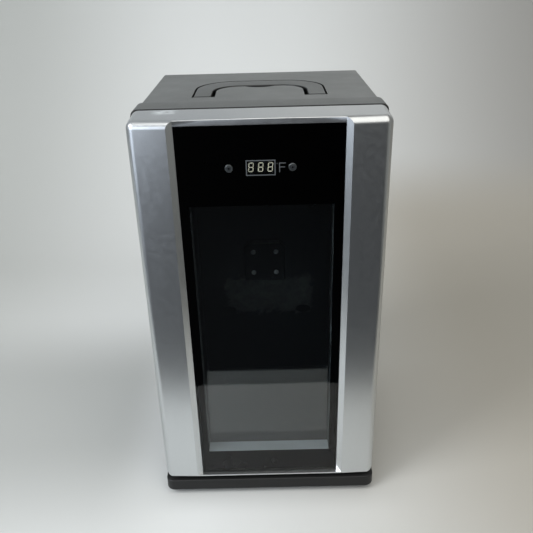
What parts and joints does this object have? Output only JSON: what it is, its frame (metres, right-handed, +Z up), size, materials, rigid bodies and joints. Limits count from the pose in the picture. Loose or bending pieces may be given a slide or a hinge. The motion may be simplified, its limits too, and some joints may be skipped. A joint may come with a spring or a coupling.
{
  "type": "wine cooler",
  "caption": "Upright free-standing thermoelectric wine cooler with a silver-framed double-glazed door, digital display, folding carry handle and rear fan.",
  "frame": {"origin": "on the floor under the middle of the base", "axes": "+Z up, +X to the right as seen from the front, the door faces -Y"},
  "size_m": [0.256, 0.268, 0.4608],
  "materials": {
    "silver_door": "satin metallic paint on moulded plastic",
    "charcoal_shell": "satin",
    "black_plastic": "satin",
    "liner_black": "semi-matt",
    "foam": "matt",
    "rubber_black": "matt",
    "zinc_steel": "zinc plated",
    "aluminium": "satin",
    "ceramic_white": "matt",
    "board_green": "solder mask",
    "clear_glass": "polished",
    "black_print": "baked print behind glass",
    "nylon": "satin",
    "display_black": "smoked",
    "brass_pin": "plated",
    "magnet": "bonded ferrite"
  },
  "bodies": {
    "cabinet": {"side_wrap": "charcoal_shell", "top_panel": "charcoal_shell", "front_rim": "charcoal_shell", "inner_liner": "liner_black", "foam_insulation": "foam", "rear_bulkhead": "black_plastic", "base_tray": "black_plastic", "rubber_feet": "rubber_black", "foot_screws": "zinc_steel", "cold_plate": "black_plastic", "cold_plate_screws": "zinc_steel", "cold_block": "aluminium", "peltier_module": "ceramic_white", "module_seal": "rubber_black", "hot_heatsink": "aluminium", "clamp_screws": "zinc_steel", "fan_frame": "black_plastic", "fan_screws": "zinc_steel", "rear_panel": "black_plastic", "rear_panel_screws": "zinc_steel", "power_board": "board_green", "power_components": "display_black", "power_inlet": "black_plastic", "inlet_pins": "brass_pin", "temperature_sensor": "black_plastic", "liner_plugs": "liner_black", "hinge_bracket": "zinc_steel", "hinge_screws": "zinc_steel", "upper_hinge_pin": "zinc_steel", "lower_hinge_pin": "zinc_steel", "hinge_washer": "nylon", "handle_pins": "zinc_steel"},
    "door": {"door_shell": "silver_door", "front_glass": "clear_glass", "black_border": "black_print", "glass_spacer": "aluminium", "inner_glass": "clear_glass", "inner_door_frame": "black_plastic", "frame_screws": "zinc_steel", "door_seal": "rubber_black", "seal_magnets": "magnet", "upper_hinge_bush": "nylon", "lower_hinge_bush": "nylon", "display_module": "display_black", "display_board": "board_green", "button_switches": "black_plastic", "button_bezels": "zinc_steel"},
    "handle": {"handle": "charcoal_shell"},
    "fan": {"fan_rotor": "black_plastic"},
    "button_left": {"button_left": "black_plastic"},
    "button_right": {"button_right": "black_plastic"}
  },
  "joints": [
    {"name": "door_hinge", "type": "hinge", "parent": "cabinet", "child": "door", "pos_m": [0.112, -0.106, 0], "axis": [0, 0, 1], "range_deg": [0, 105]},
    {"name": "handle_fold", "type": "hinge", "parent": "cabinet", "child": "handle", "pos_m": [0, -0.011, 0.451], "axis": [1, 0, 0], "range_deg": [0, 90]},
    {"name": "fan_spin", "type": "hinge", "parent": "cabinet", "child": "fan", "pos_m": [0, 0.115, 0.226], "axis": [0, 1, 0], "continuous": true},
    {"name": "button_left_press", "type": "slide", "parent": "door", "child": "button_left", "axis": [0, 1, 0], "range_m": [0, 0.001], "stiffness_N_per_m": 300, "springref_m": -0.001},
    {"name": "button_right_press", "type": "slide", "parent": "door", "child": "button_right", "axis": [0, 1, 0], "range_m": [0, 0.001], "stiffness_N_per_m": 300, "springref_m": -0.001}
  ]
}
